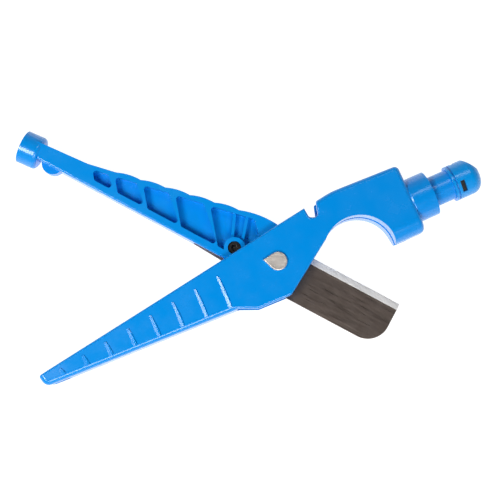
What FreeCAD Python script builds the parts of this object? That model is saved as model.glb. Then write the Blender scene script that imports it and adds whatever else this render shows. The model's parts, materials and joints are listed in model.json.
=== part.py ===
import FreeCAD, Part
import math
import os

import Sketcher
from FreeCAD import Placement, Rotation, Vector

# Lever-type cutter for plastic pipe, lying on its back face.
# The pivot axis is +Z through the origin, the origin is on the back face, +X points to the jaw.
# A straight edge is given by its heading in degrees and its offset to the left of the pivot in mm.
DIMS = {
    # frame casting
    "frame_thick": 18.4,
    "cheek_thick": 2.8,
    "floor_thick": 1.6,
    "top_heading": 31.6,
    "top_offset": 12.3,
    "brow_heading": 21.3,
    "brow_offset": 17.9,
    "tip_heading": 125.0,
    "tip_reach": 103.2,
    "tip_turn": 205.1,
    "under_heading": 21.5,
    "under_offset": -11.4,
    "knee_offset": -18.3,
    "foot_heading": 22.0,
    "foot_offset": -14.1,
    "front_heading": 57.5,
    "front_offset": -11.4,
    "cradle_x": 32.6,
    "cradle_y": 3.4,
    "cradle_radius": 14.6,
    "chin_offset": -12.5,
    "notch_left": 10.5,
    "notch_right": 15.1,
    "notch_deep": 17.3,
    "notch_narrow": 12.4,
    "notch_wide": 16.0,
    "notch_round": 1.5,
    "brow_round": 25.0,
    "corner_round": 2.0,
    "tip_round": 3.0,
    "edge_round": 0.9,
    "under_round": 2.0,
    "chin_round": 6.0,
    "slot_wide": 3.0,
    "slot_reach": 52.4,
    "slot_heading": 22.5,
    "slot_offset": 10.4,
    "throat_x": 18.6,
    "throat_y": 9.0,
    "latch_start": 92.5,
    "latch_end": 108.0,
    "latch_wide": 6.4,
    # nose
    "nose_heading": 23.5,
    "nose_offset": 0.78,
    "nose_face": 58.6,
    "nose_root": 53.0,
    "collar_radius": 9.1,
    "collar_end": 67.3,
    "neck_radius": 6.15,
    "neck_end": 76.0,
    "spigot_radius": 4.0,
    "spigot_end": 84.0,
    # grip marks
    "grip_count": 8,
    "grip_pitch": 10.0,
    "front_end": 20.9,
    "chin_start": 47.6,
    "beyond_grip": 110.0,
    "above_grip": 10.0,
    "above_frame": 40.0,
    "floor_end": -16.5,
    "mouth_left_x": -13.0,
    "mouth_left_y": -30.0,
    "mouth_right_x": 24.0,
    "mouth_right_y": -12.0,
    "mouth_top_x": 17.0,
    "mouth_top_y": 8.0,
    "slot_start": 5.0,
    "slot_below": 20.0,
    "slot_turn": 30.0,
    "rib_foot_y": 8.0,
    "rib_left_foot": -18.6,
    "rib_left_head": -17.4,
    "rib_left_top": 20.0,
    "rib_right_foot": -14.6,
    "rib_right_head": -12.4,
    "rib_right_top": 18.5,
    "tail_gap": 0.2,
    "ceiling_gap": 0.15,
    "seat_below": 14.0,
    "seat_end": 20.0,
    "cut_past": 4.0,
    "set_screw_hole": 5.0,
    "grip_wide": 2.2,
    "grip_narrowing": 0.14,
    "grip_high": 0.45,
    "grip_first": -94.6,
    "grip_base": -9.6,
    "grip_short": 2.6,
    "grip_growth": 1.5,
    # lever
    "lever_thick": 11.8,
    "lever_heading": -28.7,
    "lever_offset": -8.7,
    "back_heading": -17.7,
    "back_offset": 15.15,
    "neck_heading": -24.7,
    "neck_top": 4.85,
    "scallop_first": -63.6,
    "scallop_pitch": 9.7,
    "scallop_count": 5,
    "scallop_radius": 22.0,
    "shoulder_radius": 36.0,
    "neck_end_x": -95.0,
    "hub_radius": 10.9,
    "hub_turn": 28.0,
    "lever_round": 0.7,
    "pocket_deep": 4.1,
    "pocket_top": 13.5,
    "pocket_base": -5.7,
    "pocket_first": -73.1,
    "rib_a": -65.5,
    "rib_b": -54.2,
    "rib_c": -41.5,
    "rib_d": -27.7,
    "pocket_last": -9.2,
    "rib_thick": 2.5,
    "rib_lean": -72.0,
    "pocket_round": 1.2,
    # cup at the lever's end
    "cup_heading": 155.5,
    "cup_offset": -1.55,
    "cup_start": 104.3,
    "cup_end": 112.4,
    "cup_radius": 6.7,
    "cup_bore": 5.0,
    "cup_deep": 6.0,
    "cup_land": 3.0,
    "cup_shoulder": 1.6,
    "lug_x": -89.4,
    "lug_y": 40.6,
    "lug_radius": 4.4,
    "lug_thick": 5.0,
    # blade
    "blade_thick": 1.8,
    "blade_heading": -28.7,
    "blade_top": 8.4,
    "blade_base": -10.75,
    "blade_end": 50.4,
    "blade_tail": -33.0,
    "tail_base": -9.0,
    "tail_taper": 36.0,
    "blade_corner": 9.0,
    "bevel_wide": 2.6,
    "edge_thick": 0.3,
    # pivot
    "pin_radius": 3.0,
    "pin_play": 0.05,
    "head_radius": 3.65,
    "head_beak": 5.9,
    "head_thick": 1.1,
    "head_round": 0.35,
    "beak_turn": 175.0,
    "dish_radius": 2.9,
    "dish_deep": 0.25,
    "washer_radius": 7.5,
    "washer_play": 0.03,
    "screw_long": 8.0,
    "spanner_radius": 0.6,
    "spanner_apart": 2.5,
    "recess_deep": 1.2,
    "screw_head": 4.2,
    "screw_sink": 1.6,
    "screw_radius": 1.5,
    # blade screw
    "clamp_x": -17.0,
    "clamp_y": 5.8,
    "clamp_radius": 1.5,
    "clamp_head": 2.6,
    "clamp_head_deep": 2.4,
    "clamp_sunk": 1.2,
    "clamp_long": 6.0,
    "clamp_recess": 1.4,
    "boss_radius": 4.2,
    "rib_sunk": 1.5,
    "head_rib": 1.2,
    # reamer head on the nose
    "reamer_radius": 7.3,
    "reamer_end": 88.0,
    "reamer_lip": 1.0,
    "groove_wide": 0.6,
    "groove_deep": 0.7,
    "reamer_dome": 4.6,
    "ramp_start": 83.2,
    "ramp_foot": 88.3,
    "window_wide": 1.9,
    "window_long": 5.0,
    "window_deep": 2.2,
    "window_at": 79.7,
    "window_turn": 28.0,
    "chip_thick": 1.1,
    "set_screw_at": 82.5,
    "set_screw_radius": 1.5,
    "set_screw_long": 3.0,
}

doc = FreeCAD.newDocument("pipe_cutter")


def make_sheet():
    sheet = doc.addObject("Spreadsheet::Sheet", "Dims")
    for row, (alias, number) in enumerate(DIMS.items(), start=1):
        sheet.set("A%d" % row, alias)
        sheet.set("B%d" % row, str(number))
        sheet.setAlias("B%d" % row, alias)
    doc.recompute()
    return sheet


SHEET = make_sheet()


def dim(name):
    return "Dims." + name


def value(expression):
    """The present value of an expression, in mm or degrees."""
    result = SHEET.evalExpression(str(expression))
    return float(getattr(result, "Value", result))


def crossing(one, two):
    """Where two straight edges meet; each is (heading, offset)."""
    (turn_1, away_1), (turn_2, away_2) = one, two
    across = "sin(%s - %s)" % (turn_2, turn_1)
    x = "((%s) * cos(%s) - (%s) * cos(%s)) / %s" % (away_1, turn_2, away_2, turn_1, across)
    y = "((%s) * sin(%s) - (%s) * sin(%s)) / %s" % (away_1, turn_2, away_2, turn_1, across)
    return x, y


def along(heading, run, away):
    """The point at a run along a heading and a distance to the left of it."""
    x = "(%s) * cos(%s) - (%s) * sin(%s)" % (run, heading, away, heading)
    y = "(%s) * sin(%s) + (%s) * cos(%s)" % (run, heading, away, heading)
    return x, y


def at_x(edge, x):
    """The point of a straight edge at a given x."""
    heading, offset = edge
    return x, "(%s) / cos(%s) + (%s) * tan(%s)" % (offset, heading, x, heading)


def plane(body, role):
    for feature in body.Origin.OriginFeatures:
        if feature.Role == role:
            return feature
    raise ValueError(role)


def new_body(label):
    body = doc.addObject("PartDesign::Body", "Body_" + label)
    body.Label = label
    return body


def new_sketch(body, name, lift="0", role="XY_Plane"):
    sketch = body.newObject("Sketcher::SketchObject", name)
    sketch.AttachmentSupport = [(plane(body, role), "")]
    sketch.MapMode = "FlatFace"
    sketch.setExpression("AttachmentOffset.Base.z", str(lift))
    return sketch


def bind(sketch, kind, target, expression):
    index = sketch.addConstraint(Sketcher.Constraint(kind, *target, value(expression)))
    sketch.setExpression("Constraints[%d]" % index, str(expression))


def place_point(sketch, target, point):
    """Pin a point of the sketch to an (x, y) pair of expressions."""
    for kind, expression in zip(("DistanceX", "DistanceY"), point):
        bind(sketch, kind, (-1, 1) + target, expression)


def arc_between(start, end, radius):
    """Arc of a circle from start to end; a positive radius bulges to the right of the run."""
    chord = end - start
    middle = (start + end) * 0.5
    left = Vector(-chord.y, chord.x, 0).normalize()
    reach = math.sqrt(max(radius * radius - chord.Length ** 2 / 4.0, 0.0))
    centre = middle + left * (reach if radius > 0 else -reach)
    first, last = (start, end) if radius > 0 else (end, start)
    angle_1 = math.atan2(first.y - centre.y, first.x - centre.x)
    angle_2 = math.atan2(last.y - centre.y, last.x - centre.x)
    circle = Part.Circle(centre, Vector(0, 0, 1), abs(radius))
    return Part.ArcOfCircle(circle, angle_1, angle_2)


def outline(sketch, corners):
    """Closed profile; a corner is (x, y), or (x, y, radius) when an arc leaves it."""
    points = [Vector(value(c[0]), value(c[1]), 0) for c in corners]
    ends = []
    for index, corner in enumerate(corners):
        start, end = points[index], points[(index + 1) % len(points)]
        if len(corner) == 2:
            geo = sketch.addGeometry(Part.LineSegment(start, end))
            ends.append((geo, 1, 2))
        else:
            radius = value(corner[2])
            geo = sketch.addGeometry(arc_between(start, end, radius))
            ends.append((geo, 1, 2) if radius > 0 else (geo, 2, 1))
    for index, (geo, first, last) in enumerate(ends):
        next_geo, next_first, _ = ends[(index + 1) % len(ends)]
        sketch.addConstraint(Sketcher.Constraint("Coincident", geo, last, next_geo, next_first))
        place_point(sketch, (geo, first), corners[index][:2])
        if len(corners[index]) == 3:
            bind(sketch, "Radius", (geo,), "abs(%s)" % corners[index][2])
    return sketch


def circle(sketch, centre, radius):
    middle = Vector(value(centre[0]), value(centre[1]), 0)
    geo = sketch.addGeometry(Part.Circle(middle, Vector(0, 0, 1), value(radius)))
    place_point(sketch, (geo, 3), centre)
    bind(sketch, "Radius", (geo,), radius)
    return sketch


def finish_feature(body, feature):
    doc.recompute()
    if "Invalid" in feature.State or "Error" in feature.State or feature.Shape.isNull():
        raise RuntimeError("%s failed in %s: %s" % (feature.Name, body.Label, feature.State))
    return feature


def pad(body, sketch, length):
    feature = body.newObject("PartDesign::Pad", sketch.Name + "_pad")
    feature.Profile = sketch
    feature.setExpression("Length", str(length))
    return finish_feature(body, feature)


def pocket(body, sketch, length, upward=False):
    """Cut from the sketch plane downwards, or upwards; it must take something away."""
    before = body.Shape.Volume
    feature = body.newObject("PartDesign::Pocket", sketch.Name + "_cut")
    feature.Profile = sketch
    feature.Reversed = upward
    feature.setExpression("Length", str(length))
    finish_feature(body, feature)
    if feature.Shape.Volume >= before - 1e-6:
        raise RuntimeError("%s cuts nothing" % feature.Name)
    return feature


def turned_sketch(body, name, heading, offset, lift):
    """A sketch whose horizontal axis runs along an axis lying in the frame's middle plane."""
    sketch = new_sketch(body, name, lift)
    turn = value(heading)
    x, y = along(heading, "0", offset)
    sketch.AttachmentOffset = Placement(Vector(value(x), value(y), value(lift)), Rotation(Vector(0, 0, 1), turn))
    sketch.setExpression("AttachmentOffset.Base.x", x)
    sketch.setExpression("AttachmentOffset.Base.y", y)
    sketch.setExpression("AttachmentOffset.Rotation.Angle", str(heading))
    return sketch


def revolve(body, sketch, cut=False):
    kind = "PartDesign::Groove" if cut else "PartDesign::Revolution"
    before = body.Shape.Volume if cut else 0.0
    feature = body.newObject(kind, sketch.Name + "_turn")
    feature.Profile = sketch
    feature.ReferenceAxis = (sketch, ["H_Axis"])
    feature.Angle = 360.0
    finish_feature(body, feature)
    if cut and feature.Shape.Volume >= before - 1e-6:
        raise RuntimeError("%s cuts nothing" % feature.Name)
    return feature


def round_edges(body, radius, chosen):
    """Fillet every edge of the body's tip that the test chooses."""
    tip = body.Tip
    names = ["Edge%d" % (i + 1) for i, edge in enumerate(tip.Shape.Edges) if chosen(edge)]
    if not names:
        raise RuntimeError("no edge to round in " + body.Label)
    feature = body.newObject("PartDesign::Fillet", "Round_%d" % len(body.Group))
    feature.Base = (tip, names)
    feature.setExpression("Radius", str(radius))
    return finish_feature(body, feature)


def is_upright(edge):
    """A straight edge parallel to the pivot."""
    if not isinstance(edge.Curve, Part.Line):
        return False
    return abs(edge.Curve.Direction.z) > 0.999


def upright_at(*places):
    """Chooses the upright edges that stand at the given (x, y) expressions."""
    spots = [Vector(value(x), value(y), 0) for x, y in places]

    def chosen(edge):
        if not is_upright(edge):
            return False
        foot = Vector(edge.CenterOfMass.x, edge.CenterOfMass.y, 0)
        return any((foot - spot).Length < 0.3 for spot in spots)
    return chosen


def in_faces(*heights):
    """Chooses the edges that lie flat at one of the given heights."""
    levels = [value(height) for height in heights]

    def chosen(edge):
        box = edge.BoundBox
        return box.ZLength < 1e-3 and any(abs(box.ZMin - level) < 1e-3 for level in levels)
    return chosen


# ---------------------------------------------------------------- shared edges and heights
TOP = (dim("top_heading"), dim("top_offset"))
BROW = (dim("brow_heading"), dim("brow_offset"))
UNDER = (dim("under_heading"), dim("under_offset"))
FLOOR = (dim("under_heading"), "(Dims.under_offset + Dims.floor_thick)")
KNEE = ("0", dim("knee_offset"))
FOOT = (dim("foot_heading"), dim("foot_offset"))
FRONT = (dim("front_heading"), dim("front_offset"))
CHIN = (dim("nose_heading"), dim("chin_offset"))
NOSE_FACE = ("(Dims.nose_heading + 90)", "-Dims.nose_face")
LEVER_LOW = (dim("lever_heading"), dim("lever_offset"))
LEVER_BACK = (dim("back_heading"), dim("back_offset"))
MIDDLE = "Dims.frame_thick / 2"
CRADLE = (dim("cradle_x"), dim("cradle_y"))
TIP_CORNER = along(dim("tip_turn"), dim("tip_reach"), "0")


def tip_edge():
    """The short end of the grip, through its far corner."""
    x, y = TIP_CORNER
    heading = dim("tip_heading")
    return heading, "((%s) * cos(%s) - (%s) * sin(%s))" % (y, heading, x, heading)


def centred_lift(thickness):
    return "%s - (%s) / 2" % (MIDDLE, thickness)


# ---------------------------------------------------------------- frame casting
def frame_outline(body):
    sketch = new_sketch(body, "FrameOutline")
    corners = [
        TIP_CORNER,
        crossing(tip_edge(), UNDER),
        crossing(UNDER, KNEE),
        crossing(KNEE, FOOT),
        crossing(FOOT, FRONT),
        at_x(FRONT, dim("front_end")),
        CRADLE,
        at_x(CHIN, dim("chin_start")),
        crossing(CHIN, NOSE_FACE),
        crossing(NOSE_FACE, BROW),
        crossing(BROW, TOP),
        at_x(TOP, dim("notch_right")),
        (dim("notch_wide"), dim("notch_deep")),
        (dim("notch_narrow"), dim("notch_deep")),
        at_x(TOP, dim("notch_left")),
    ]
    return outline(sketch, corners)


def beside(edge_line, left_of):
    """Chooses the flat edges of both faces that lie on a straight edge, left or right of the cradle."""
    flat = in_faces("0", dim("frame_thick"))
    turn = math.radians(value(edge_line[0]))
    offset = value(edge_line[1])
    limit = value(dim("cradle_x"))

    def chosen(edge):
        middle = edge.CenterOfMass
        away = middle.y * math.cos(turn) - middle.x * math.sin(turn)
        return flat(edge) and abs(away - offset) < 0.05 and (middle.x < limit) == left_of
    return chosen


def frame_rounds(body):
    """Round the chin broadly and the grip's underside softly, then the corners and every other edge."""
    notch_corners = ((dim("notch_wide"), dim("notch_deep")), (dim("notch_narrow"), dim("notch_deep")))
    round_edges(body, dim("chin_round"), beside(CHIN, False))
    round_edges(body, dim("tip_round"), upright_at(crossing(tip_edge(), UNDER)))
    round_edges(body, dim("under_round"), beside(UNDER, True))
    round_edges(body, dim("corner_round"), upright_at(crossing(FOOT, FRONT), crossing(NOSE_FACE, BROW)))
    round_edges(body, dim("notch_round"), upright_at(*notch_corners))
    round_edges(body, dim("brow_round"), upright_at(crossing(BROW, TOP)))
    round_edges(body, dim("corner_round"), upright_at(crossing(CHIN, NOSE_FACE)))
    flat = in_faces("0", dim("frame_thick"))
    centre = Vector(value(CRADLE[0]), value(CRADLE[1]), 0)
    reach = value("Dims.cradle_radius + 1")

    def clear_of_cradle(edge):
        feet = [Vector(vertex.X, vertex.Y, 0) for vertex in edge.Vertexes]
        return flat(edge) and all((foot - centre).Length > reach for foot in feet)
    round_edges(body, dim("edge_round"), clear_of_cradle)


def frame_hollows(body):
    """The cradle, the channel that the lever folds into, the blade's slot and the latch window."""
    pocket(body, circle(new_sketch(body, "Cradle", dim("frame_thick")), CRADLE, dim("cradle_radius")),
           dim("frame_thick"))
    channel = new_sketch(body, "Channel", "Dims.frame_thick - Dims.cheek_thick")
    outline(channel, [
        along(dim("under_heading"), "-Dims.beyond_grip", "Dims.under_offset + Dims.floor_thick"),
        at_x(FLOOR, dim("floor_end")),
        (dim("mouth_left_x"), dim("mouth_left_y")),
        (dim("mouth_right_x"), dim("mouth_right_y")),
        (dim("mouth_top_x"), dim("mouth_top_y")),
        (dim("throat_x"), dim("throat_y")),
        (dim("throat_x"), dim("above_frame")),
        ("-Dims.beyond_grip", dim("above_grip")),
    ])
    pocket(body, channel, "Dims.frame_thick - 2 * Dims.cheek_thick")
    slot = new_sketch(body, "BladeSlot", centred_lift(dim("slot_wide")) + " + Dims.slot_wide")
    heading, offset, reach = dim("slot_heading"), dim("slot_offset"), dim("slot_reach")
    run = "sqrt(%s ^ 2 - %s ^ 2)" % (reach, offset)
    outline(slot, [
        along(heading, dim("slot_start"), offset),
        ("0", "-Dims.slot_below"),
        along("-Dims.slot_turn", reach, "0") + (reach,),
        along(heading, run, offset),
    ])
    pocket(body, slot, dim("slot_wide"))
    window = new_sketch(body, "LatchWindow", centred_lift(dim("latch_wide")) + " + Dims.latch_wide")
    outline(window, [
        along(dim("under_heading"), "-Dims.latch_end", "Dims.under_offset - 2"),
        along(dim("under_heading"), "-Dims.latch_start", "Dims.under_offset - 2"),
        along(dim("under_heading"), "-Dims.latch_start", "Dims.under_offset + 3"),
        along(dim("under_heading"), "-Dims.latch_end", "Dims.under_offset + 3"),
    ])
    pocket(body, window, dim("latch_wide"))


def frame_nose(body):
    """Collar and neck turned about the nose axis, with the spigot that carries the reamer head."""
    sketch = turned_sketch(body, "Nose", dim("nose_heading"), dim("nose_offset"), MIDDLE)
    outline(sketch, [
        (dim("nose_root"), "0"),
        (dim("spigot_end"), "0"),
        (dim("spigot_end"), dim("spigot_radius")),
        (dim("neck_end"), dim("spigot_radius")),
        (dim("neck_end"), dim("neck_radius")),
        (dim("collar_end"), dim("neck_radius")),
        (dim("collar_end"), dim("collar_radius")),
        (dim("nose_face"), dim("collar_radius")),
        (dim("nose_root"), dim("neck_radius")),
    ])
    revolve(body, sketch)


def grip_marks(body):
    """A row of raised marks across the grip, growing longer and narrower towards the pivot."""
    sketch = new_sketch(body, "GripMarks", dim("frame_thick"))
    heading = dim("under_heading")
    base = dim("grip_base")
    for number in range(int(value(dim("grip_count")))):
        left = "(Dims.grip_first + %d * Dims.grip_pitch)" % number
        wide = "(Dims.grip_wide - %d * Dims.grip_narrowing)" % number
        long_side = "(Dims.grip_short + %d * Dims.grip_growth)" % number
        top = "(%s + %s)" % (base, long_side)
        outline(sketch, [
            along(heading, left, base),
            along(heading, "(%s + %s)" % (left, wide), base) + ("(4 * %s)" % long_side,),
            along(heading, "(%s + %s / 2)" % (left, wide), top),
            along(heading, left, top),
        ])
    pad(body, sketch, dim("grip_high"))


def cylinder_cut(body, name, centre, radius, lift, depth):
    return pocket(body, circle(new_sketch(body, name, lift), centre, radius), depth)


def countersink(body, name, radius, sink):
    """Cone cut in the back face about the pivot, for a flat screw head."""
    cone = body.newObject("PartDesign::SubtractiveCone", name)
    cone.setExpression("Radius1", str(radius))
    cone.setExpression("Radius2", "%s - %s" % (radius, sink))
    cone.setExpression("Height", str(sink))
    return finish_feature(body, cone)


def build_frame():
    body = new_body("frame_casting")
    pad(body, frame_outline(body), dim("frame_thick"))
    frame_rounds(body)
    frame_nose(body)
    frame_hollows(body)
    grip_marks(body)
    cylinder_cut(body, "PivotBore", ("0", "0"), dim("pin_radius"), dim("frame_thick"), dim("frame_thick"))
    countersink(body, "ScrewSeat", "Dims.screw_head + Dims.pin_play", dim("screw_sink"))
    return body


# ---------------------------------------------------------------- lever casting
NECK_TOP = (dim("neck_heading"), dim("neck_top"))
POCKET_TOP = (dim("back_heading"), dim("pocket_top"))
POCKET_BASE = (dim("lever_heading"), dim("pocket_base"))
CLAMP = (dim("clamp_x"), dim("clamp_y"))


def lever_outline(body):
    """Hub, scalloped back and straight underside, tapering to the neck of the cup."""
    sketch = new_sketch(body, "LeverOutline", centred_lift(dim("lever_thick")))
    hub = dim("hub_radius")
    hub_run = "sqrt(%s ^ 2 - Dims.lever_offset ^ 2)" % hub
    corners = [
        along(dim("lever_heading"), hub_run, dim("lever_offset")) + (hub,),
        along(dim("hub_turn"), hub, "0") + (dim("shoulder_radius"),),
    ]
    count = int(value(dim("scallop_count")))
    for number in range(count, 0, -1):
        x = "(Dims.scallop_first + %d * Dims.scallop_pitch)" % number
        corners.append(at_x(LEVER_BACK, x) + (dim("scallop_radius"),))
    corners.append(at_x(LEVER_BACK, dim("scallop_first")))
    corners.append(crossing(LEVER_BACK, NECK_TOP))
    corners.append(at_x(NECK_TOP, dim("neck_end_x")))
    corners.append(at_x(LEVER_LOW, dim("neck_end_x")))
    return outline(sketch, corners)


def through(heading, point):
    """The straight edge with a heading through a point."""
    x, y = point
    return heading, "((%s) * cos(%s) - (%s) * sin(%s))" % (y, heading, x, heading)


def reverse(edge):
    heading, offset = edge
    return "(%s + 180)" % heading, "(-1 * (%s))" % offset


def rounded(edges, radius):
    """Corners of a closed shape with its inside to the left of every edge, each corner an arc."""
    corners = []
    for index, edge in enumerate(edges):
        following = edges[(index + 1) % len(edges)]
        inner = [(heading, "(%s + %s)" % (offset, radius)) for heading, offset in (edge, following)]
        x, y = crossing(*inner)
        for number, (heading, _) in enumerate((edge, following)):
            point = ("%s + %s * sin(%s)" % (x, radius, heading), "%s - %s * cos(%s)" % (y, radius, heading))
            corners.append(point + (radius,) if number == 0 else point)
    return corners


def pocket_outlines():
    """The five lightening pockets between the ribs."""
    ribs = [dim(name) for name in ("rib_a", "rib_b", "rib_c", "rib_d")]
    half = "Dims.rib_thick / 2"
    lefts = [dim("pocket_first")] + ["(%s + %s)" % (rib, half) for rib in ribs]
    rights = ["(%s - %s)" % (rib, half) for rib in ribs] + [dim("pocket_last")]
    shapes = []
    for left, right in zip(lefts, rights):
        left_side = through("(%s - 8)" % dim("rib_lean"), at_x(POCKET_TOP, left))
        right_side = through(dim("rib_lean"), at_x(POCKET_TOP, right))
        edges = [POCKET_BASE, reverse(right_side), reverse(POCKET_TOP), left_side]
        shapes.append(rounded(edges, dim("pocket_round")))
    return shapes


def lever_pockets(body):
    """The same pockets from both faces, leaving a web in the middle."""
    thick = dim("lever_thick")
    faces = (
        ("FrontPockets", "%s + %s / 2" % (MIDDLE, thick), False),
        ("BackPockets", centred_lift(thick), True),
    )
    for name, lift, upward in faces:
        sketch = new_sketch(body, name, lift)
        for shape in pocket_outlines():
            outline(sketch, shape)
        pocket(body, sketch, dim("pocket_deep"), upward)


def lever_cup(body):
    """The chamfering cup, turned about its own axis at the lever's end."""
    sketch = turned_sketch(body, "Cup", dim("cup_heading"), dim("cup_offset"), MIDDLE)
    shoulder = dim("cup_shoulder")
    floor = "Dims.cup_end - Dims.cup_deep"
    outline(sketch, [
        (dim("cup_start"), "0"),
        (floor, "0"),
        (floor, "Dims.cup_bore - 1.5"),
        ("Dims.cup_end - Dims.cup_land", dim("cup_bore")),
        (dim("cup_end"), dim("cup_bore")),
        (dim("cup_end"), dim("cup_radius")),
        ("Dims.cup_start + %s" % shoulder, dim("cup_radius"), shoulder),
        (dim("cup_start"), "Dims.cup_radius - %s" % shoulder),
    ])
    revolve(body, sketch)


def lever_head(body):
    """Boss and ribs about the blade screw, then the blade's slot and the bores."""
    thick = dim("lever_thick")
    pad(body, circle(new_sketch(body, "ClampBoss", centred_lift(thick)), CLAMP, dim("boss_radius")), thick)
    rib_thick = "(%s - 2 * Dims.rib_sunk)" % thick
    ribs = new_sketch(body, "HeadRibs", centred_lift(rib_thick))
    for side in ("left", "right"):
        foot_x, head_x = dim("rib_%s_foot" % side), dim("rib_%s_head" % side)
        foot_y, head_y = dim("rib_foot_y"), dim("rib_%s_top" % side)
        outline(ribs, [
            (foot_x, foot_y),
            (foot_x + " + Dims.head_rib", foot_y),
            (head_x + " + Dims.head_rib", head_y),
            (head_x, head_y),
        ])
    pad(body, ribs, rib_thick)
    room = "(Dims.blade_thick + 2 * Dims.pin_play)"
    slot = new_sketch(body, "LeverSlot", centred_lift(room) + " + " + room)
    heading = dim("blade_heading")
    tail = "(Dims.blade_tail - Dims.tail_gap)"
    ceiling = "(Dims.blade_top + Dims.ceiling_gap)"
    outline(slot, [
        along(heading, tail, "-Dims.seat_below"),
        along(heading, dim("seat_end"), "-Dims.seat_below"),
        along(heading, dim("seat_end"), ceiling),
        along(heading, tail, ceiling),
    ])
    pocket(body, slot, room)
    top = "%s + %s / 2" % (MIDDLE, thick)
    cylinder_cut(body, "LeverBore", ("0", "0"), "Dims.pin_radius + Dims.pin_play", top, thick)
    cylinder_cut(body, "ClampHole", CLAMP, dim("clamp_radius"), top, "%s - 2" % thick)
    cylinder_cut(body, "ClampSeat", CLAMP, "Dims.clamp_head + Dims.pin_play", top,
                 "Dims.clamp_head_deep + Dims.clamp_sunk")


def round_low_edge(body):
    """Soften the long straight edge on both faces."""
    thick = dim("lever_thick")
    flat = in_faces(centred_lift(thick), "%s + %s / 2" % (MIDDLE, thick))
    round_edges(body, dim("lever_round"), lambda edge: flat(edge) and edge.Length > 100)


def build_lever():
    body = new_body("lever_casting")
    pad(body, lever_outline(body), dim("lever_thick"))
    round_low_edge(body)
    lever_pockets(body)
    lever_cup(body)
    lug = circle(new_sketch(body, "Lug", centred_lift(dim("lug_thick"))), (dim("lug_x"), dim("lug_y")),
                 dim("lug_radius"))
    pad(body, lug, dim("lug_thick"))
    lever_head(body)
    return body


# ---------------------------------------------------------------- blade
def build_blade():
    """Flat blade with a ground edge, rounded at its lower end, held in the lever's slot."""
    body = new_body("cutting_blade")
    thick = dim("blade_thick")
    heading = dim("blade_heading")
    sketch = new_sketch(body, "BladeOutline", centred_lift(thick))
    outline(sketch, [
        along(heading, dim("blade_tail"), dim("tail_base")),
        along(heading, "(Dims.blade_tail + Dims.tail_taper)", dim("blade_base")),
        along(heading, "(Dims.blade_end - Dims.blade_corner)", dim("blade_base")) + (dim("blade_corner"),),
        along(heading, dim("blade_end"), "(Dims.blade_base + Dims.blade_corner)"),
        along(heading, dim("blade_end"), "(Dims.blade_top - Dims.bevel_wide)"),
        along(heading, dim("blade_tail"), "(Dims.blade_top - Dims.bevel_wide)"),
    ])
    pad(body, sketch, thick)
    ground_edge(body)
    above = "%s + %s / 2" % (MIDDLE, thick)
    cylinder_cut(body, "BladeBore", ("0", "0"), "Dims.pin_radius + Dims.pin_play", above, thick)
    cylinder_cut(body, "BladeHole", CLAMP, "Dims.clamp_radius + Dims.pin_play", above, thick)
    return body


def ground_edge(body):
    """The cutting edge, ground from both faces to a fine land."""
    wedge = body.newObject("PartDesign::AdditiveWedge", "GroundEdge")
    sizes = {
        "Xmin": dim("blade_tail"),
        "Xmax": dim("blade_end"),
        "X2min": dim("blade_tail"),
        "X2max": dim("blade_end"),
        "Ymin": "Dims.blade_top - Dims.bevel_wide",
        "Ymax": dim("blade_top"),
        "Zmin": "-Dims.blade_thick / 2",
        "Zmax": "Dims.blade_thick / 2",
        "Z2min": "-Dims.edge_thick / 2",
        "Z2max": "Dims.edge_thick / 2",
    }
    for name in ("Xmax", "Ymax", "Zmax", "X2max", "Z2max", "Xmin", "Ymin", "Zmin", "X2min", "Z2min"):
        wedge.setExpression(name, sizes[name])
    turn = Rotation(Vector(0, 0, 1), value(dim("blade_heading")))
    wedge.Placement = Placement(Vector(0, 0, value(MIDDLE)), turn)
    finish_feature(body, wedge)


# ---------------------------------------------------------------- pivot
def build_pivot_pin():
    """Pin with a teardrop head, tapped from behind for the screw that keeps it."""
    body = new_body("pivot_pin")
    shank_end = "(Dims.screw_sink + 0.1)"
    shank = circle(new_sketch(body, "Shank", shank_end), ("0", "0"), dim("pin_radius"))
    pad(body, shank, "Dims.frame_thick - %s" % shank_end)
    head = new_sketch(body, "Head", dim("frame_thick"))
    half_turn = "(acos(Dims.head_radius / Dims.head_beak) / 1 deg)"
    radius = dim("head_radius")
    outline(head, [
        along("Dims.beak_turn", dim("head_beak"), "0"),
        along("(Dims.beak_turn + %s)" % half_turn, radius, "0") + (radius,),
        along("(Dims.beak_turn + 180)", radius, "0") + (radius,),
        along("(Dims.beak_turn - %s)" % half_turn, radius, "0"),
    ])
    pad(body, head, dim("head_thick"))
    top = in_faces("Dims.frame_thick + Dims.head_thick")
    round_edges(body, dim("head_round"), top)
    cylinder_cut(body, "Dish", ("0", "0"), dim("dish_radius"), "Dims.frame_thick + Dims.head_thick",
                 dim("dish_deep"))
    tapped = circle(new_sketch(body, "Tapped", shank_end), ("0", "0"), dim("screw_radius"))
    pocket(body, tapped, "Dims.screw_long", upward=True)
    return body


def build_pivot_screw():
    """Countersunk screw in the back cheek, flush with the back face, with two spanner holes."""
    body = new_body("pivot_screw")
    cone = body.newObject("PartDesign::AdditiveCone", "ScrewHead")
    cone.setExpression("Radius1", dim("screw_head"))
    cone.setExpression("Radius2", "Dims.screw_head - Dims.screw_sink")
    cone.setExpression("Height", dim("screw_sink"))
    finish_feature(body, cone)
    stem = circle(new_sketch(body, "Stem", "Dims.screw_sink - 0.2"), ("0", "0"), dim("screw_radius"))
    pad(body, stem, "Dims.screw_long - 0.6")
    holes = new_sketch(body, "SpannerHoles", "0")
    for place in (dim("spanner_apart"), "-Dims.spanner_apart"):
        circle(holes, (place, "0"), dim("spanner_radius"))
    pocket(body, holes, dim("recess_deep"), upward=True)
    return body


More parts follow.
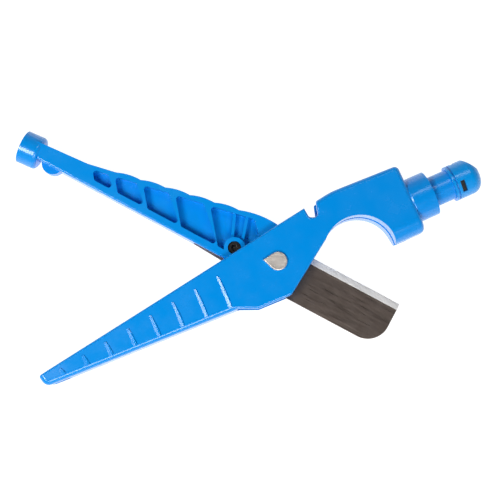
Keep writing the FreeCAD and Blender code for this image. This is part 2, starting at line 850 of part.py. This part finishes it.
def hexagon(sketch, radius, centre=("0", "0")):
    corners = []
    for number in range(6):
        x, y = along("%d" % (60 * number), radius, "0")
        corners.append(("%s + %s" % (centre[0], x), "%s + %s" % (centre[1], y)))
    return outline(sketch, corners)


def build_washer(label, lift):
    body = new_body(label)
    thick = "(Dims.frame_thick / 2 - Dims.cheek_thick - Dims.lever_thick / 2 - 2 * Dims.washer_play)"
    ring = new_sketch(body, "Ring_" + label, lift)
    circle(ring, ("0", "0"), dim("washer_radius"))
    circle(ring, ("0", "0"), "Dims.pin_radius + Dims.pin_play")
    pad(body, ring, thick)
    return body


def build_blade_screw():
    """Socket cap screw through the lever and the blade's tail."""
    body = new_body("blade_screw")
    face = "(%s + Dims.lever_thick / 2)" % MIDDLE
    head_base = "(%s - Dims.clamp_sunk - Dims.clamp_head_deep)" % face
    pad(body, circle(new_sketch(body, "CapHead", head_base), CLAMP, dim("clamp_head")), dim("clamp_head_deep"))
    stem = circle(new_sketch(body, "CapStem", head_base + " - Dims.clamp_long"), CLAMP, dim("clamp_radius"))
    pad(body, stem, "Dims.clamp_long + 0.1")
    recess = hexagon(new_sketch(body, "CapRecess", "%s - Dims.clamp_sunk" % face), dim("clamp_recess"), CLAMP)
    pocket(body, recess, dim("recess_deep"))
    return body


# ---------------------------------------------------------------- reamer head
def reamer_profile(body):
    sketch = turned_sketch(body, "Reamer", dim("nose_heading"), dim("nose_offset"), MIDDLE)
    radius = dim("reamer_radius")
    groove = "(%s - Dims.groove_deep)" % radius
    lip_end = "(Dims.neck_end + Dims.reamer_lip)"
    dome = dim("reamer_dome")
    bore = "(Dims.spigot_radius + Dims.pin_play)"
    outline(sketch, [
        ("Dims.neck_end + 0.05", bore),
        ("Dims.spigot_end + 0.3", bore),
        ("Dims.spigot_end + 0.3", "0"),
        (dim("reamer_end"), "0"),
        (dim("reamer_end"), "%s - %s" % (radius, dome), dome),
        ("%s - %s" % (dim("reamer_end"), dome), radius),
        ("%s + Dims.groove_wide" % lip_end, radius),
        ("%s + Dims.groove_wide" % lip_end, groove),
        (lip_end, groove),
        (lip_end, radius),
        ("Dims.neck_end + 0.05", radius),
    ])
    return sketch


def nose_point(run, away):
    return along(dim("nose_heading"), run, "(Dims.nose_offset + %s)" % away)


def nose_frame(turn):
    """Placement with x along the nose axis and z pointing out of it, turned about that axis."""
    x, y = nose_point("0", "0")
    base = Vector(value(x), value(y), value(MIDDLE))
    heading = Rotation(Vector(0, 0, 1), value(dim("nose_heading")))
    return Placement(base, heading * Rotation(Vector(1, 0, 0), turn))


def window_turns():
    return [value(dim("window_turn")) + 120.0 * number for number in range(3)]


def build_reamer():
    """Knob with a ramped end and three windows for its small blades, pushed onto the spigot."""
    body = new_body("reamer_head")
    revolve(body, reamer_profile(body))
    ramp = new_sketch(body, "Ramp", dim("frame_thick") + " + Dims.cut_past")
    outline(ramp, [
        nose_point(dim("ramp_start"), "Dims.reamer_radius"),
        nose_point(dim("ramp_foot"), "0"),
        nose_point("Dims.reamer_end + Dims.cut_past", "0"),
        nose_point("Dims.reamer_end + Dims.cut_past", "(Dims.reamer_radius + Dims.cut_past)"),
        nose_point(dim("ramp_start"), "(Dims.reamer_radius + Dims.cut_past)"),
    ])
    pocket(body, ramp, "Dims.frame_thick + 2 * Dims.cut_past")
    wide, long_side, deep = (value(dim(name)) for name in ("window_wide", "window_long", "window_deep"))
    for number, turn in enumerate(window_turns()):
        box = body.newObject("PartDesign::SubtractiveBox", "Window_%d" % number)
        box.setExpression("Length", dim("window_wide"))
        box.setExpression("Width", dim("window_long"))
        box.setExpression("Height", "Dims.window_deep + Dims.cut_past")
        corner = Vector(value(dim("window_at")) - wide / 2, -long_side / 2, value(dim("reamer_radius")) - deep)
        box.Placement = nose_frame(turn) * Placement(corner, Rotation())
        finish_feature(body, box)
    screw_hole = body.newObject("PartDesign::SubtractiveCylinder", "SetScrewHole")
    screw_hole.setExpression("Radius", dim("set_screw_radius"))
    screw_hole.setExpression("Height", dim("set_screw_hole"))
    screw_hole.Placement = set_screw_frame()
    finish_feature(body, screw_hole)
    return body


def set_screw_frame():
    """Foot of the set screw, on the spigot's skin, facing the back."""
    foot = Vector(value(dim("set_screw_at")), 0, value(dim("spigot_radius")))
    return nose_frame(180.0) * Placement(foot, Rotation())


def build_reamer_blades():
    """Three small steel blades at the bottom of the windows, as one group of separate solids."""
    blades = []
    wide, long_side = value(dim("window_wide")), value(dim("window_long"))
    floor = value("Dims.reamer_radius - Dims.window_deep")
    thick = value(dim("chip_thick"))
    gap = 0.1
    for turn in window_turns():
        box = Part.makeBox(wide - 2 * gap, long_side - 2 * gap, thick)
        corner = Vector(value(dim("window_at")) - wide / 2 + gap, -long_side / 2 + gap, floor)
        box.Placement = nose_frame(turn) * Placement(corner, Rotation())
        blades.append(box)
    feature = doc.addObject("Part::Feature", "Node_reamer_blades")
    feature.Label = "reamer_blades"
    feature.Shape = Part.makeCompound(blades)
    feature.Placement = Placement()
    return feature


def build_set_screw():
    """Headless screw that keeps the reamer head on the spigot."""
    stem = doc.addObject("Part::Cylinder", "SetScrewStem")
    stem.setExpression("Radius", dim("set_screw_radius"))
    stem.setExpression("Height", dim("set_screw_long"))
    stem.Placement = set_screw_frame()
    socket = doc.addObject("Part::Prism", "SetScrewSocket")
    socket.Polygon = 6
    socket.setExpression("Circumradius", "Dims.set_screw_radius * 0.55")
    socket.Height = 1.5
    lift = value(dim("set_screw_long")) - 1.2
    socket.Placement = set_screw_frame() * Placement(Vector(0, 0, lift), Rotation())
    screw = doc.addObject("Part::Cut", "Node_reamer_set_screw")
    screw.Label = "reamer_set_screw"
    screw.Base = stem
    screw.Tool = socket
    return screw


# ---------------------------------------------------------------- whole part
def main():
    rear = "Dims.cheek_thick + Dims.washer_play"
    front = "%s + Dims.lever_thick / 2 + Dims.washer_play" % MIDDLE
    nodes = [
        build_frame(),
        build_lever(),
        build_blade(),
        build_pivot_pin(),
        build_pivot_screw(),
        build_washer("front_washer", front),
        build_washer("rear_washer", rear),
        build_blade_screw(),
        build_reamer(),
        build_reamer_blades(),
        build_set_screw(),
    ]
    doc.recompute()
    for item in doc.Objects:
        if "Invalid" in item.State or "Error" in item.State:
            raise RuntimeError("%s is %s" % (item.Label, item.State))
    os.makedirs("parts", exist_ok=True)
    for node in nodes:
        shape = node.Shape
        if shape.isNull() or not shape.isValid():
            raise RuntimeError(node.Label + " is not a valid shape")
        shape.exportStep("parts/%s.step" % node.Label)
        box = shape.BoundBox
        print("%-18s %8.3f cm3  %d solid(s)  x %.2f %.2f  y %.2f %.2f  z %.2f %.2f" % (
            node.Label, shape.Volume / 1000.0, len(shape.Solids),
            box.XMin, box.XMax, box.YMin, box.YMax, box.ZMin, box.ZMax))


if __name__ == "__main__":
    main()
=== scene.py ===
import json
import math

import bmesh
import bpy
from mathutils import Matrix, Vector


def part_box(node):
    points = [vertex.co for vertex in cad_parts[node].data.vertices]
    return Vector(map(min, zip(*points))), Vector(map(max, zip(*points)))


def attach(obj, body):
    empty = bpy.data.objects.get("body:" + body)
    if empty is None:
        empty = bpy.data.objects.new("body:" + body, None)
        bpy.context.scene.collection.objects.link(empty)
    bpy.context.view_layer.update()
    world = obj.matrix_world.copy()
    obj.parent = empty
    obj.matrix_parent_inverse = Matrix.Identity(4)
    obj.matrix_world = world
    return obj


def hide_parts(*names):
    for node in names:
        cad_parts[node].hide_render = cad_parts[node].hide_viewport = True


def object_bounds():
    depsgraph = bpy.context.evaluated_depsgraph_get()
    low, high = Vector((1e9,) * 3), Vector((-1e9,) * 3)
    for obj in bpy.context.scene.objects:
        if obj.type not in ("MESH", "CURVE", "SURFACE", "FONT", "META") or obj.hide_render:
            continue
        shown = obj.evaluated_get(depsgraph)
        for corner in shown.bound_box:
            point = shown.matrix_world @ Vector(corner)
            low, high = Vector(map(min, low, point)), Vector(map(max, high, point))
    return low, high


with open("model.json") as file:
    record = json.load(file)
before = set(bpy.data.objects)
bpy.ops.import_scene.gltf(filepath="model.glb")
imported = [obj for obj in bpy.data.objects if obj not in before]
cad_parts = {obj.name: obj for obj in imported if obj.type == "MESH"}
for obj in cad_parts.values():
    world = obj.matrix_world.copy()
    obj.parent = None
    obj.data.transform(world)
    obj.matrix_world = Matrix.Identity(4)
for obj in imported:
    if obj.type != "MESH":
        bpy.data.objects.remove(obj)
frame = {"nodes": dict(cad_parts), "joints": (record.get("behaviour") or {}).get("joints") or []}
CAD_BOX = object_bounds()

MM = 0.001
PIVOT = Vector(frame["joints"][0]["pos_m"])

# Raised marks on the grip: heading of the grip in degrees, height, and the slope along their left side.
GRIP_HEADING = 23.0
MARK_HIGH = 0.45 * MM
MARK_SLOPE = 1.25 * MM
MARK_DROP = 0.38 * MM
FLAT_PART_FROM = 1.15
MARK_CREASE = 10.0
LEVEL_PLAY = 0.1 * MARK_HIGH
FACING_UP = 0.99
FRONT_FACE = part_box("frame_casting")[1].z - MARK_HIGH

# Rounding of hard edges, with angles in degrees.
MERGE_WITHIN = 0.002 * MM
FLAT_WITHIN = 0.6
HARD_EDGE = 24.0
ROUND_STEPS = 3

# Ground faces of the blade: their tilt from flat in degrees, and their least area.
GROUND_TILT = (6.0, 60.0)
GROUND_AREA = 4.0 * MM * MM

# Camera: its place and target beside the pivot, and its height above the front face.
CAMERA_BESIDE = Vector((-11.3, -38.4, 0.0)) * MM
CAMERA_ABOVE = 446.0 * MM
TARGET_BESIDE = Vector((-10.9, 4.5, 0.0)) * MM
CAMERA_LENS = 82.55
SENSOR_WIDE = 36.0
CLIP_START = 0.01

# Floor.
FLOOR_HALF = 3.0
FLOOR_SINK = 0.02 * MM
FLOOR_GREY = 0.3
FLOOR_ROUGHNESS = 0.9
FLOOR_GLOW = 0.95


# ---------------------------------------------------------------- node helpers
class Shader:
    """A material or world node tree with short calls for making and joining nodes."""

    def __init__(self, owner):
        owner.use_nodes = True
        self.tree = owner.node_tree
        self.tree.nodes.clear()

    def add(self, kind, **settings):
        node = self.tree.nodes.new(kind)
        for name, setting in settings.items():
            setattr(node, name, setting)
        return node

    def join(self, source, target):
        self.tree.links.new(source, target)

    def ramp(self, source, stops):
        """Colour ramp of (place, grey or colour) stops."""
        node = self.add("ShaderNodeValToRGB")
        elements = node.color_ramp.elements
        while len(elements) < len(stops):
            elements.new(0.5)
        for element, (place, shade) in zip(elements, stops):
            element.position = place
            element.color = (*shade, 1.0) if isinstance(shade, tuple) else (shade, shade, shade, 1.0)
        self.join(source, node.inputs["Fac"])
        return node.outputs["Color"]

    def noise(self, place, scale, detail=3.0, roughness=0.5):
        node = self.add("ShaderNodeTexNoise")
        node.inputs["Scale"].default_value = scale
        node.inputs["Detail"].default_value = detail
        node.inputs["Roughness"].default_value = roughness
        self.join(place, node.inputs["Vector"])
        return node.outputs["Fac"]

    def stretched(self, place, scale, heading=0.0):
        """Coordinates turned so that a heading in degrees lies along X, then scaled along each axis."""
        node = self.add("ShaderNodeMapping", vector_type="TEXTURE")
        node.inputs["Rotation"].default_value = (0.0, 0.0, math.radians(heading))
        node.inputs["Scale"].default_value = [1.0 / factor for factor in scale]
        self.join(place, node.inputs["Vector"])
        return node.outputs["Vector"]

    def mix(self, factor, low, high):
        node = self.add("ShaderNodeMix", data_type="RGBA")
        self.join(factor, node.inputs["Factor"])
        for name, shade in (("A", low), ("B", high)):
            socket = [s for s in node.inputs if s.name == name and s.type == "RGBA"][0]
            if isinstance(shade, tuple):
                socket.default_value = (*shade, 1.0)
            else:
                self.join(shade, socket)
        return [s for s in node.outputs if s.type == "RGBA"][0]

    def bump(self, height, strength, distance, under=None):
        node = self.add("ShaderNodeBump")
        node.inputs["Strength"].default_value = strength
        node.inputs["Distance"].default_value = distance
        self.join(height, node.inputs["Height"])
        if under is not None:
            self.join(under, node.inputs["Normal"])
        return node.outputs["Normal"]


def surface(name):
    """A material with a Principled surface; gives the shader, its coordinates and the surface node."""
    material = bpy.data.materials.new(name)
    shader = Shader(material)
    coordinates = shader.add("ShaderNodeTexCoord").outputs["Object"]
    skin = shader.add("ShaderNodeBsdfPrincipled")
    output = shader.add("ShaderNodeOutputMaterial")
    shader.join(skin.outputs["BSDF"], output.inputs["Surface"])
    return material, shader, coordinates, skin


# ---------------------------------------------------------------- materials
def paint(name, colour, deep, roughness):
    """Gloss paint on a casting: faint colour drift, orange peel, rubbed patches and hairline scratches."""
    material, shader, place, skin = surface(name)
    drift = shader.noise(place, 45.0, 4.0)
    shader.join(shader.mix(drift, deep, colour), skin.inputs["Base Color"])
    rubbed = shader.noise(place, 120.0, 5.0, 0.6)
    shader.join(shader.ramp(rubbed, ((0.35, roughness), (0.75, roughness * 1.9))), skin.inputs["Roughness"])
    peel = shader.noise(place, 650.0, 2.0)
    skin.inputs["Coat Weight"].default_value = 0.12
    skin.inputs["Coat Roughness"].default_value = 0.08
    first = shader.bump(peel, 0.12, 0.06 * MM)
    hairs = shader.noise(shader.stretched(place, (90.0, 2600.0, 900.0), 31.0), 1.0, 2.0)
    shader.join(shader.bump(shader.ramp(hairs, ((0.66, 0.0), (0.72, 1.0))), 0.06, 0.02 * MM, first),
                skin.inputs["Normal"])
    return material


def steel(name, colour, stain, roughness, heading, grain=0.25):
    """Ground steel: fine parallel grain and faint stains."""
    material, shader, place, skin = surface(name)
    skin.inputs["Metallic"].default_value = 1.0
    cloud = shader.ramp(shader.noise(place, 160.0, 5.0, 0.62), ((0.3, 0.0), (0.72, 1.0)))
    shader.join(shader.mix(cloud, stain, colour), skin.inputs["Base Color"])
    lines = shader.noise(shader.stretched(place, (120.0, 5200.0, 5200.0), heading), 1.0, 3.0)
    smooth, coarse = roughness * 0.8, roughness * 1.3
    shader.join(shader.ramp(lines, ((0.3, smooth), (0.7, coarse))), skin.inputs["Roughness"])
    shader.join(shader.bump(lines, grain, 0.02 * MM), skin.inputs["Normal"])
    return material


def make_materials():
    return {
        "casting": paint("gloss_blue_casting", (0.0, 0.275, 0.79), (0.0, 0.262, 0.755), 0.17),
        "moulding": paint("gloss_blue_moulding", (0.0, 0.30, 0.80), (0.0, 0.285, 0.77), 0.2),
        "blade": steel("browned_blade_steel", (0.31, 0.252, 0.222), (0.24, 0.19, 0.165), 0.34, -28.7),
        "ground": steel("ground_edge_steel", (0.95, 0.94, 0.93), (0.86, 0.85, 0.84), 0.55, 61.3),
        "bright": steel("turned_pivot_steel", (0.90, 0.86, 0.81), (0.70, 0.63, 0.57), 0.42, 0.0, 0.15),
        "washer": steel("washer_steel", (0.60, 0.59, 0.57), (0.45, 0.44, 0.43), 0.32, 15.0),
        "dark": steel("blackened_steel", (0.075, 0.072, 0.07), (0.05, 0.048, 0.047), 0.36, 40.0),
    }


# ---------------------------------------------------------------- pieces
def on_mark(edge):
    """Whether an edge belongs to a raised grip mark: above the front face, or in a corner on it."""
    heights = [vert.co.z for vert in edge.verts]
    above = max(heights) > FRONT_FACE + LEVEL_PLAY
    corner = min(heights) > FRONT_FACE - LEVEL_PLAY and not edge.is_convex
    return above or corner


def slope_marks(mesh):
    """Lets the top of each raised grip mark fall away along its left side."""
    heading = math.radians(GRIP_HEADING)
    right = Vector((math.cos(heading), math.sin(heading), 0.0))
    half_way = FRONT_FACE + MARK_HIGH / 2
    tops = [f for f in mesh.faces if f.normal.z > FACING_UP and f.calc_center_median().z > half_way]
    for top in tops:
        left_edge = min(top.edges, key=lambda e: sum(vert.co.dot(right) for vert in e.verts))
        corners = list(left_edge.verts)
        start = min(corner.co.dot(right) for corner in corners)
        reach = max(vert.co.dot(right) for vert in top.verts) - start
        if reach > MARK_SLOPE * FLAT_PART_FROM:
            geometry = [top] + list(top.edges) + list(top.verts)
            bmesh.ops.bisect_plane(mesh, geom=geometry, plane_co=right * (start + MARK_SLOPE), plane_no=right)
        for corner in corners:
            corner.co.z -= MARK_DROP


def soften(node, body, materials, width, sharp=HARD_EDGE, choose=None):
    """A copy of a CAD node with its hard edges rounded, standing for that node."""
    source = frame["nodes"][node]
    mesh = bmesh.new()
    mesh.from_mesh(source.data)
    bmesh.ops.remove_doubles(mesh, verts=mesh.verts, dist=MERGE_WITHIN)
    bmesh.ops.dissolve_limit(mesh, angle_limit=math.radians(FLAT_WITHIN), verts=mesh.verts, edges=mesh.edges)
    limit = math.radians(sharp)
    if node == "frame_casting":
        slope_marks(mesh)
    hard = [e for e in mesh.edges if e.is_manifold and e.calc_face_angle(0.0) > limit and not on_mark(e)]
    bmesh.ops.bevel(mesh, geom=hard, offset=width, offset_type="OFFSET", segments=ROUND_STEPS, profile=0.5,
                    affect="EDGES", clamp_overlap=True)
    for edge in mesh.edges:
        if on_mark(edge) and edge.is_manifold and edge.calc_face_angle(0.0) > math.radians(MARK_CREASE):
            edge.smooth = False
    for face in mesh.faces:
        face.smooth = True
        if choose is not None:
            face.material_index = choose(face)
    data = bpy.data.meshes.new(node + "_finish")
    mesh.to_mesh(data)
    mesh.free()
    piece = bpy.data.objects.new(node + "_finish", data)
    bpy.context.scene.collection.objects.link(piece)
    for material in materials:
        data.materials.append(material)
    weighted = piece.modifiers.new("WeightedNormal", "WEIGHTED_NORMAL")
    weighted.keep_sharp = True
    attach(piece, body)
    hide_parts(node)
    return piece


def is_ground(face):
    """1 on the blade's sloping ground faces, 0 elsewhere and on its narrow rounded edges."""
    tilt = math.degrees(math.acos(min(1.0, abs(face.normal.z))))
    broad = face.calc_area() > GROUND_AREA
    return 1 if broad and GROUND_TILT[0] < tilt < GROUND_TILT[1] else 0


def build_pieces(looks):
    soften("frame_casting", "frame", [looks["casting"]], 0.35 * MM)
    soften("lever_casting", "lever", [looks["casting"]], 0.45 * MM)
    soften("cutting_blade", "lever", [looks["blade"], looks["ground"]], 0.06 * MM,
           sharp=40.0, choose=is_ground)
    soften("pivot_pin", "frame", [looks["bright"]], 0.12 * MM)
    soften("pivot_screw", "frame", [looks["bright"]], 0.08 * MM)
    soften("front_washer", "lever", [looks["washer"]], 0.05 * MM)
    soften("rear_washer", "lever", [looks["washer"]], 0.05 * MM)
    soften("blade_screw", "lever", [looks["dark"]], 0.12 * MM)
    soften("reamer_head", "frame", [looks["moulding"]], 0.2 * MM)
    soften("reamer_blades", "frame", [looks["dark"]], 0.05 * MM)
    soften("reamer_set_screw", "frame", [looks["dark"]], 0.08 * MM)


# ---------------------------------------------------------------- studio
def add_camera():
    """Straight above and a little below the tool, looking slightly up the picture."""
    camera = bpy.data.objects.new("Camera", bpy.data.cameras.new("Camera"))
    bpy.context.scene.collection.objects.link(camera)
    camera.data.lens = CAMERA_LENS
    camera.data.sensor_width = SENSOR_WIDE
    camera.data.clip_start = CLIP_START
    place = PIVOT + CAMERA_BESIDE
    place.z = FRONT_FACE + CAMERA_ABOVE
    target = PIVOT + TARGET_BESIDE
    target.z = FRONT_FACE
    camera.location = place
    camera.rotation_euler = (target - place).to_track_quat("-Z", "Y").to_euler()
    bpy.context.scene.camera = camera


def add_softbox(name, toward, tilt, reach, size, power):
    """Area light at a bearing in degrees and a tilt from straight up, aimed at the tool."""
    light = bpy.data.objects.new(name, bpy.data.lights.new(name, "AREA"))
    light.data.shape = "RECTANGLE"
    light.data.size, light.data.size_y = size
    light.data.energy = power
    bearing, lean = math.radians(toward), math.radians(tilt)
    away = Vector((math.cos(bearing) * math.sin(lean), math.sin(bearing) * math.sin(lean), math.cos(lean)))
    middle = (CAD_BOX[0] + CAD_BOX[1]) / 2
    light.location = middle + away * reach
    light.rotation_euler = (-away).to_track_quat("-Z", "Y").to_euler()
    bpy.context.scene.collection.objects.link(light)


def add_floor():
    """Plain sheet that the tool lies on, glowing so that it looks pale and takes little shadow."""
    mesh = bmesh.new()
    bmesh.ops.create_grid(mesh, x_segments=1, y_segments=1, size=FLOOR_HALF)
    data = bpy.data.meshes.new("Floor")
    mesh.to_mesh(data)
    mesh.free()
    floor = bpy.data.objects.new("Floor", data)
    floor.location.z = CAD_BOX[0].z - FLOOR_SINK
    bpy.context.scene.collection.objects.link(floor)
    material, _, _, skin = surface("pale_floor")
    skin.inputs["Base Color"].default_value = (FLOOR_GREY, FLOOR_GREY, FLOOR_GREY, 1.0)
    skin.inputs["Roughness"].default_value = FLOOR_ROUGHNESS
    skin.inputs["Emission Color"].default_value = (1.0, 1.0, 1.0, 1.0)
    skin.inputs["Emission Strength"].default_value = FLOOR_GLOW
    data.materials.append(material)


def set_world():
    """Dark overhead, where the camera is, and a dim grey all round."""
    world = bpy.data.worlds.new("Studio")
    bpy.context.scene.world = world
    shader = Shader(world)
    direction = shader.add("ShaderNodeTexCoord").outputs["Generated"]
    parts = shader.add("ShaderNodeSeparateXYZ")
    shader.join(direction, parts.inputs["Vector"])
    shade = shader.ramp(parts.outputs["Z"], ((0.0, 0.38), (0.34, 0.32), (0.6, 0.06), (0.85, 0.0)))
    background = shader.add("ShaderNodeBackground")
    shader.join(shade, background.inputs["Color"])
    output = shader.add("ShaderNodeOutputWorld")
    shader.join(background.outputs["Background"], output.inputs["Surface"])


def set_studio():
    """Camera, floor and surroundings, and lights below, left and above right in the picture."""
    bpy.context.scene.view_settings.view_transform = "Standard"
    add_camera()
    add_floor()
    set_world()
    add_softbox("Key", -84.0, 40.0, 0.7, (0.46, 0.24), 2.95)
    add_softbox("Side", 196.0, 33.0, 0.7, (0.24, 0.2), 2.6)
    add_softbox("Fill", 62.0, 32.0, 0.8, (0.26, 0.16), 0.7)


build_pieces(make_materials())
set_studio()
